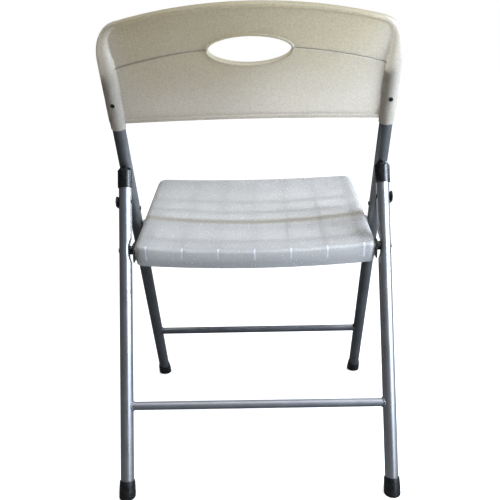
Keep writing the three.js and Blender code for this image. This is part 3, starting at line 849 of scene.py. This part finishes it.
def seat_outline(inset):
    """Plan of the seat at an inset, always with the same number of points."""
    half = SEAT_HALF_W - inset
    front = SEAT_FRONT + inset
    rear = SEAT_REAR - inset
    rear_r = max(SEAT_CORNER_REAR - inset, 0.5)
    front_r = max(SEAT_CORNER_FRONT - inset, 0.5)
    corners = [
        (half - rear_r, rear - rear_r, rear_r, 0), (-half + rear_r, rear - rear_r, rear_r, 90),
        (-half + front_r, front + front_r, front_r, 180),
        (half - front_r, front + front_r, front_r, 270),
    ]
    points = []
    for k, (x, y, radius, start) in enumerate(corners):
        arc = []
        for step in range(13):
            turn = math.radians(start + 90 * step / 12)
            arc.append(Vector((x + radius * math.cos(turn), y + radius * math.sin(turn))))
        points += arc
        after = corners[(k + 1) % 4]
        turn = math.radians(after[3])
        goal = Vector((after[0] + after[2] * math.cos(turn), after[1] + after[2] * math.sin(turn)))
        points += [arc[-1].lerp(goal, step / 48) for step in range(1, 48)]
    bulged = []
    for point in points:
        back = max(0.0, (point.y - SEAT_FRONT) / (SEAT_REAR - SEAT_FRONT))
        bulge = SEAT_BULGE * back ** 3 * (1 - (point.x / SEAT_HALF_W) ** 2)
        bulged.append(Vector((point.x, point.y + bulge)))
    return bulged


def outwards(x):
    """Share of the way from the middle to the side, squared."""
    return min(1.0, abs(x) / SEAT_HALF_W) ** 2


def seat_surface(x, y):
    """Height of the dished top, which rolls down at the front."""
    t = min(1.0, max(0.0, (SEAT_REAR - y) / (SEAT_REAR - SEAT_FRONT)))
    sag = (10 + 25 * t - 30 * t * t) * (1 - outwards(x))
    roll = SEAT_ROLL * max(0.0, 1 - (y - SEAT_FRONT) / SEAT_ROLL_FROM) ** 2
    return SEAT_TOP + SEAT_RISE * t - sag - roll


def seat_layer(inset, top, bottom, shrink=0.0):
    """Closed layer of the seat between two depths under its surface."""
    base = seat_outline(inset)
    inward = [b - a for a, b in zip(base, seat_outline(inset + 1))]
    reach = []
    for point, step in zip(base, inward):
        sideways = min(1.0, abs(step.x))
        side, end = SEAT_SIDE_EDGE, SEAT_END_EDGE
        reach.append([max(1.0, e + (s - e) * sideways ** 2 - shrink) for s, e in zip(side, end)])

    def ring(moves, depths, scale=1.0):
        made = []
        for point, step, move, depth in zip(base, inward, moves, depths):
            flat = point + step * move
            x = flat.x * scale
            y = SEAT_MIDDLE + (flat.y - SEAT_MIDDLE) * scale
            arch = SKIRT_ARCH * (1 - outwards(x)) if depth > bottom - 2 else 0
            made.append(Vector((x, y, seat_surface(x, y) - depth + arch)))
        return made

    count = len(base)
    rings = [ring([SEAT_DRAFT] * count, [bottom] * count, scale) for scale in (0.3, 0.6, 0.85)]
    rings.append(ring([SEAT_DRAFT + 0.9] * count, [bottom] * count))
    rings.append(ring([SEAT_DRAFT + 0.3] * count, [bottom - 0.3] * count))
    rings.append(ring([SEAT_DRAFT] * count, [bottom - 1] * count))
    for turn in range(0, 91, 10):
        bend = math.radians(turn)
        moves = [r[0] * (1 - math.cos(bend)) for r in reach]
        depths = [top + r[1] * (1 - math.sin(bend)) for r in reach]
        rings.append(ring(moves, depths))
    wide = [r[0] for r in reach]
    rings += [ring(wide, [top] * count, scale) for scale in SEAT_TOP_SCALES]
    return skin(rings)


def cross_bar(radius):
    """Bar that sags in the middle to follow the dished seat."""
    path = []
    for k in range(49):
        x = CROSS_BAR_HALF * (k / 24 - 1)
        drop = CROSS_BAR_DROP * (1 - min(1.0, abs(x) / CROSS_BAR_HALF) ** 2)
        path.append(Vector((x, 0, -drop)))
    return sweep(path, radius, 32)


def rib_grid(spans, depth):
    """Ribs over (x, y) spans, cut to the seat's own form at a depth under its top."""
    first, *others = [block(x_range, y_range, RIB_LEVELS) for x_range, y_range in spans]
    form = seat_layer(SEAT_SKIN / 2, SEAT_SKIN / 2, depth, 2)
    return combine(first, *(("UNION", rib) for rib in others), ("INTERSECT", form))


def seat_panel():
    shell = combine(
        seat_layer(0, 0, SEAT_SKIRT),
        ("DIFFERENCE", seat_layer(SEAT_SKIN, SEAT_SKIN, SEAT_SKIRT + 20, SEAT_SKIN)),
    )
    wide = (-SEAT_HALF_W - 10, SEAT_HALF_W + 10)
    deep = (SEAT_FRONT - 10, SEAT_REAR + 20)
    half = RIB_T / 2
    long_grid = rib_grid([((x - half, x + half), deep) for x in LONG_RIBS], LONG_RIB_DEPTH)
    cross_grid = rib_grid([(wide, (y - half, y + half)) for y in CROSS_RIBS], CROSS_RIB_DEPTH)
    ribs = combine(long_grid, ("UNION", cross_grid), ("DIFFERENCE", cross_bar(CROSS_BAR_R + GAP)))
    turn = Matrix.Rotation(math.radians(90), 4, "Y")
    rear_pivot = local(SEAT, SEAT_REAR_PIVOT)
    steps = [("UNION", ribs)]
    for side in (1, -1):
        swing = turn if side > 0 else turn.inverted()
        boss = lathe([(0.4, BOSS_FROM), (BOSS_R, BOSS_FROM), (BOSS_R, BOSS_TO), (0.4, BOSS_TO)], 1)
        steps.append(("UNION", moved(boss, swing)))
        origin = Vector((0, 0, 0))
        for radius, point, low, high in (
            (PIN_R, origin, BOSS_FROM + 3, SEAT_HOLE_TO),
            (RIVET_R, rear_pivot, HOLE_FROM, SEAT_HOLE_TO),
            (CROSS_BAR_R, origin, BAR_SEAT_FROM, BOSS_FROM + 1),
        ):
            steps.append(("DIFFERENCE", across_hole(radius + GAP, point, side, low, high)))
    return combine(shell, *steps)


# ------ backrest

def quadratic(start, control, end, count):
    points = []
    for k in range(count):
        t = k / count
        points.append(start * (1 - t) ** 2 + control * 2 * t * (1 - t) + end * t ** 2)
    return points


def back_half_outline():
    """Right half (x > 0) of the backrest's outline, from the bottom middle up to the top middle."""
    centre = BACK_TOP - BACK_TOP_R
    tip = math.acos(BACK_CORNER_X / BACK_TOP_R)
    corner = Vector((BACK_CORNER_X, centre + BACK_TOP_R * math.sin(tip)))
    bottom_mid = Vector((0, BACK_BOTTOM_MID))
    bottom_end = Vector((BACK_HALF_W - 12, BACK_BOTTOM_SIDE))
    side_low = Vector((BACK_HALF_W, BACK_BOTTOM_SIDE + 12))
    side_top = Vector((BACK_HALF_W, BACK_SIDE_TOP))
    points = quadratic(bottom_mid, Vector((110, BACK_BOTTOM_MID)), bottom_end, 60)
    points += quadratic(bottom_end, Vector((BACK_HALF_W - 1, BACK_BOTTOM_SIDE)), side_low, 12)
    points += [side_low.lerp(side_top, k / 20) for k in range(20)]
    points += quadratic(side_top, Vector((BACK_HALF_W, BACK_TOP - 39)), corner, 40)
    for k in range(61):
        turn = tip + (math.pi / 2 - tip) * k / 60
        points.append(Vector((BACK_TOP_R * math.cos(turn), centre + BACK_TOP_R * math.sin(turn))))
    return points


def evenly(points, count):
    """Points at equal steps round a closed outline."""
    loop = np.array([tuple(point) for point in points] + [tuple(points[0])])
    lengths = np.concatenate([[0], np.cumsum(np.linalg.norm(np.diff(loop, axis=0), axis=1))])
    at = np.linspace(0, lengths[-1], count, endpoint=False)
    return np.stack([np.interp(at, lengths, loop[:, axis]) for axis in (0, 1)], axis=1)


def smooth_max(a, b, blend):
    return np.maximum(a, b) + np.maximum(0, blend - np.abs(a - b)) ** 2 / (4 * blend)


def smooth_step(low, high, value):
    t = np.clip((value - low) / (high - low), 0, 1)
    return t * t * (3 - 2 * t)


def edge_drop(distance, radius):
    """How far a surface falls at an edge rounded with that radius."""
    near = np.clip(radius - distance, 0, radius)
    return radius - np.sqrt(radius ** 2 - near ** 2)


def nearest_on(path, points):
    """Distance from each point to a path, and how far along the path its nearest point is."""
    best = np.full(len(points), 1e9)
    along = np.zeros(len(points))
    start = 0.0
    for a, b in zip(path, path[1:]):
        run = b - a
        length = np.linalg.norm(run)
        t = np.clip((points - a) @ run / length ** 2, 0, 1)
        away = np.linalg.norm(points - a - t[:, None] * run, axis=1)
        closer = away < best
        best = np.where(closer, away, best)
        along = np.where(closer, start + t * length, along)
        start += length
    return best, along


def bow(x):
    return BACK_BOW * (1 - np.minimum(1, np.abs(x) / HALF_SPACING) ** 2)


def back_faces(points, rim_distance, hole_distance):
    """Heights of the rear and the front face at plan points of the backrest."""
    x = points[:, 0]
    half = BACK_SKIN / 2
    folded = np.stack([np.abs(x), points[:, 1]], axis=1)
    outline = back_half_outline()
    low = 640.0
    path = [np.array((BACK_HALF_W, low))] + [np.array(p) for p in outline if p.y > 700]
    away, along = nearest_on(path, folded)
    level = low + along
    fade = smooth_step(BACK_SIDE_TOP - 15, BACK_SIDE_TOP + 85, level)
    width = 2 * COLUMN_R * (1 - fade) + RIM_W * fade
    turn = np.clip((away - width / 2) / (width / 2), -1, 1)
    arch = np.sqrt(1 - turn ** 2)
    gone = 60 * (away > width)
    column_rear = COLUMN_R * (1 - fade) * arch + (bow(x) + 2 * arch) * fade - gone
    column_front = COLUMN_R * (1 - fade) * arch + (RIM_FORWARD * arch - bow(x)) * fade - gone
    rim = 1 - smooth_step(RIM_W - 0.9, RIM_W + 0.5, rim_distance)
    lip = 1 - smooth_step(LIP_W - 0.9, LIP_W + 0.5, hole_distance)
    raised = np.maximum(rim, lip)
    edge = edge_drop(np.minimum(rim_distance, hole_distance), 1.3)
    side = edge_drop(np.maximum(BACK_HALF_W - np.abs(x), 0), COLUMN_R)
    outside = smooth_step(HALF_SPACING - 14, HALF_SPACING, np.abs(x))
    rear = bow(x) + half + RIM_PROUD * raised * (1 - outside)
    front = bow(x) - half - (RIM_FORWARD - half) * raised * (1 - outside * (1 - fade))
    rear = smooth_max(rear - edge, column_rear, 5)
    front = -smooth_max(-(front + edge), column_front, 5)
    return rear, front


def back_shell():
    """Shell made of loops that run from the outline inward to the hand hole and back on the other face."""
    half = back_half_outline()
    whole = half[:-1] + [Vector((-p.x, p.y)) for p in half[::-1][:-1]]
    count = 560
    outer = evenly(whole, count)
    run = np.roll(outer, -1, axis=0) - np.roll(outer, 1, axis=0)
    run /= np.linalg.norm(run, axis=1)[:, None]
    inward = np.stack([-run[:, 1], run[:, 0]], axis=1)
    centre = np.array((0, HOLE_S))
    turn = np.arctan2((outer[:, 1] - HOLE_S) / HOLE_B, outer[:, 0] / (HOLE_A * 1.15))
    spin = np.stack([np.cos(turn), np.sin(turn)], axis=1)
    loops = []
    for inset in (0, 0.25, 0.7, 1.3, 2.2, 3.4, 4.6, 5.3, 5.8, 6.3, 7):
        loops.append((outer + inward * inset, inset, 99))
    start = loops[-1][0]
    reach = LIP_W + 1.5
    end = centre + spin * np.array((HOLE_A + reach, HOLE_B + reach))
    shares = [0.012 * k for k in range(1, 15)] + [0.17 + 0.83 * k / 16 for k in range(1, 16)]
    for share in shares:
        loops.append((start + (end - start) * share, 99, 99))
    for out in (reach, 4.9, 4.4, 3.9, 3.4, 2.4, 1.3, 0.7, 0.25, 0):
        loops.append((centre + spin * np.array((HOLE_A + out, HOLE_B + out)), 99, out))
    rear_rings = []
    front_rings = []
    for points, rim_distance, hole_distance in loops:
        rear, front = back_faces(points, np.full(count, rim_distance), np.full(count, hole_distance))
        rear_rings.append([Vector((x, n, s)) for (x, s), n in zip(points, rear)])
        front_rings.append([Vector((x, n, s)) for (x, s), n in zip(points, front)])
    return skin(rear_rings + front_rings[::-1], closed=True)


def crease_cutter(side):
    """Shallow groove from the hand hole towards the side, on the rear face."""
    path = []
    radii = []
    start = HOLE_A + LIP_W - 1
    steps = 60
    for k in range(steps + 1):
        x = start + (CREASE_TO - start) * k / steps
        taper = min(1.0, (steps - k) / 3 + 0.25)
        out = float(bow(x)) + BACK_SKIN / 2 + 0.3
        path.append(Vector((side * x, out, CREASE_S - x * x / (2 * CREASE_R))))
        radii.append(1.5 * taper)
    return sweep(path, radii, 16)


def backrest():
    steps = []
    for side in (1, -1):
        at = leg_at(side)
        sleeve = lathe([
            (0.4, SLEEVE_FROM), (SLEEVE_R, SLEEVE_FROM), (SLEEVE_R, SLEEVE_TO), (0.4, SLEEVE_TO + 2),
        ], 0.8)
        bore = rod(TUBE_R + GAP, SLEEVE_BORE_FROM, MAIN_TO + GAP, 96)
        screw_hole = moved(rod(SCREW_HOLE_R, 0, 30), Matrix.Rotation(math.radians(-90), 4, "X"))
        steps.append(("UNION", moved(sleeve, at)))
        steps.append(("DIFFERENCE", moved(bore, at)))
        steps.append(("DIFFERENCE", moved(screw_hole, leg_at(side, SCREW_AT))))
        steps.append(("DIFFERENCE", crease_cutter(side)))
    return combine(back_shell(), *steps)


def backrest_screw():
    """Pan-head screw with a cross recess, driven from the rear."""
    seat_at = COLUMN_R
    profile = [
        (0.2, SCREW_FROM), (SCREW_R, SCREW_FROM), (SCREW_R, seat_at), (SCREW_HEAD_R, seat_at),
        (SCREW_HEAD_R, seat_at + 0.7), (SCREW_HEAD_R - 0.7, seat_at + 1.5), (0.2, seat_at + 1.75),
    ]
    screw = lathe(profile, 0.35, segments=40)
    deep = (seat_at + 0.6, seat_at + 4)
    slots = [block(SLOT_LONG, SLOT_WIDE, deep), block(SLOT_WIDE, SLOT_LONG, deep)]
    return combine(screw, *(("DIFFERENCE", slot) for slot in slots))


def screw_frame(side):
    return MAIN @ leg_at(side, SCREW_AT) @ Matrix.Rotation(math.radians(-90), 4, "X")


# ------ the chair

def make_side(hand, rows):
    """One side's pieces; each row's first and last names follow the hand."""
    for name, bm, matrix, body, slot, look, node in rows:
        make(f"{hand}_{name}", bm, matrix, body, look, [f"{hand}_{node}"])


def build_frame():
    make("front_bar", crossbar(MAIN, FRONT_BAR), MAIN, "main_frame", SHADED_SILVER_PAINT,
         ["front_crossbar"])
    make("rear_bar", crossbar(REAR, REAR_BAR), REAR, "rear_legs", SHADED_BAR_PAINT,
         ["rear_crossbar"])
    black = ("black_plastic", BLACK_PLASTIC)
    for hand, side in SIDES:
        make_side(hand, (
            ("main_leg", main_tube(side), MAIN, "main_frame", "frame_paint", SHADED_SILVER_PAINT, "main_tube"),
            ("back_leg", rear_tube(side), REAR, "rear_legs", "silver_paint", SILVER_PAINT, "rear_leg"),
            ("front_shoe", foot(MAIN, side), Matrix(), "main_frame", *black, "front_foot"),
            ("rear_shoe", foot(REAR, side), Matrix(), "rear_legs", *black, "rear_foot"),
            ("cap", leg_cap(side), REAR @ leg_at(side), "rear_legs", *black, "rear_leg_cap"),
        ))


def build_pivots():
    steel = ("black_steel", BLACK_STEEL)
    zinc = ("zinc_steel", ZINC)
    for hand, side in SIDES:
        front = pin_frame(LINK_FRONT, side)
        rear = pin_frame(LINK_REAR, side)
        link = f"{hand}_link"
        seat_pin = headed_pin(SEAT_HALF_W - 3, PIN_R, PIN_HEAD_R)
        back_pin = headed_pin(SEAT_HALF_W - 2, RIVET_R, HEAD_R)
        make_side(hand, (
            ("strap", link_strap(), strap_frame(side), link, *steel, "link_strap"),
            ("strap_front_rivet", link_front_rivet(), front, "main_frame", *steel, "link_front_rivet"),
            ("strap_washer", link_washer(), front, "main_frame", "black_plastic", BLACK_PLASTIC,
             "link_washer"),
            ("strap_rear_rivet", link_rear_rivet(), rear, link, *steel, "link_rear_rivet"),
            ("strap_rear_pin", link_rear_pin(), rear, "rear_legs", *steel, "link_rear_pin"),
            ("seat_front_pin", seat_pin, pin_frame(SEAT_PIVOT, side), "seat", *zinc, "seat_pivot_pin"),
            ("seat_back_pin", back_pin, pin_frame(SEAT_REAR_PIVOT, side), "rear_legs", *zinc,
             "seat_rear_pin"),
            ("bracket", seat_bracket(), bracket_frame(side), "seat", *steel, "seat_bracket"),
            ("screw", backrest_screw(), screw_frame(side), "main_frame", *steel, "backrest_screw"),
        ))


def build_seat_and_back():
    make("seat", seat_panel(), SEAT, "seat", SEAT_PLASTIC, ["seat_panel"])
    make("seat_stiffener", cross_bar(CROSS_BAR_R), SEAT, "seat", YELLOW_ZINC,
         ["seat_cross_bar"])
    make("back", backrest(), MAIN, "main_frame", BACK_PLASTIC, ["backrest"])


# ------ studio

def add_camera():
    data = bpy.data.cameras.new("camera")
    data.sensor_width = CAMERA_SENSOR
    data.lens = CAMERA_LENS
    data.clip_start = 0.05
    camera = link_in(bpy.data.objects.new("camera", data))
    camera.location = CAMERA_PLACE
    camera.rotation_euler = [math.radians(angle) for angle in CAMERA_TURN]
    bpy.context.scene.camera = camera


def add_area(name, place, aim, size, power, colour):
    data = bpy.data.lights.new(name, "AREA")
    data.shape = "RECTANGLE"
    data.size, data.size_y = size
    data.energy = power
    data.color = colour
    light = link_in(bpy.data.objects.new(name, data))
    light.location = place
    light.rotation_euler = (Vector(aim) - Vector(place)).to_track_quat("-Z", "Y").to_euler()
    light.visible_camera = False


def add_sun(strength, angle, direction):
    data = bpy.data.lights.new("sky", "SUN")
    data.energy = strength
    data.angle = math.radians(angle)
    light = link_in(bpy.data.objects.new("sky", data))
    light.rotation_euler = Vector(direction).to_track_quat("-Z", "Y").to_euler()


def seen_directly(tree):
    """1 for rays from the eye, straight or through the plastic; 0 for what the chair reflects."""
    path = add(tree, "ShaderNodeLightPath")
    rays = path.outputs["Is Camera Ray"], path.outputs["Is Transmission Ray"]
    return math_of(tree, "MAXIMUM", *rays)


def add_floor():
    """Pale floor; what bounces off it onto the chair is kept low, as over a dark studio table."""
    mesh = bpy.data.meshes.new("floor")
    size = FLOOR_HALF
    corners = [(-size, -size, 0), (size, -size, 0), (size, size, 0), (-size, size, 0)]
    mesh.from_pydata(corners, [], [(0, 1, 2, 3)])
    look = bpy.data.materials.new("floor")
    look.use_nodes = True
    tree = look.node_tree
    tree.nodes.clear()
    matte = add(tree, "ShaderNodeBsdfDiffuse", {"Color": grey(0.72)}).outputs[0]
    glow = add(tree, "ShaderNodeEmission", {"Color": grey(1), "Strength": 0.62}).outputs[0]
    pale = add(tree, "ShaderNodeAddShader", {0: matte, 1: glow}).outputs[0]
    dim = add(tree, "ShaderNodeBsdfDiffuse", {"Color": grey(0.12)}).outputs[0]
    mixed = add(tree, "ShaderNodeMixShader", {0: seen_directly(tree), 1: dim, 2: pale})
    add(tree, "ShaderNodeOutputMaterial", {0: mixed.outputs[0]})
    mesh.materials.append(look)
    floor = link_in(bpy.data.objects.new("floor", mesh))


def add_world():
    """White to the eye, grey through the plastic, and dim in reflections."""
    world = bpy.data.worlds.new("studio")
    bpy.context.scene.world = world
    world.use_nodes = True
    tree = world.node_tree
    tree.nodes.clear()
    path = add(tree, "ShaderNodeLightPath")
    white = add(tree, "ShaderNodeBackground", {"Color": grey(1), "Strength": 1.0}).outputs[0]
    soft = add(tree, "ShaderNodeBackground", {"Color": grey(1), "Strength": 0.2}).outputs[0]
    cool = grey(1, (0.97, 0.99, 1.04))
    dim = add(tree, "ShaderNodeBackground", {"Color": cool, "Strength": 0.075}).outputs[0]
    eye, beyond = path.outputs["Is Camera Ray"], path.outputs["Is Transmission Ray"]
    through = add(tree, "ShaderNodeMixShader", {0: beyond, 1: dim, 2: soft}).outputs[0]
    mixed = add(tree, "ShaderNodeMixShader", {0: eye, 1: through, 2: white}).outputs[0]
    add(tree, "ShaderNodeOutputWorld", {0: mixed})


def build_studio():
    add_camera()
    for light in LIGHTS:
        add_area(*light)
    add_sun(*SUN)
    add_floor()
    add_world()
    bpy.context.scene.view_settings.view_transform = "Standard"


build_studio()
build_frame()
build_pivots()
build_seat_and_back()
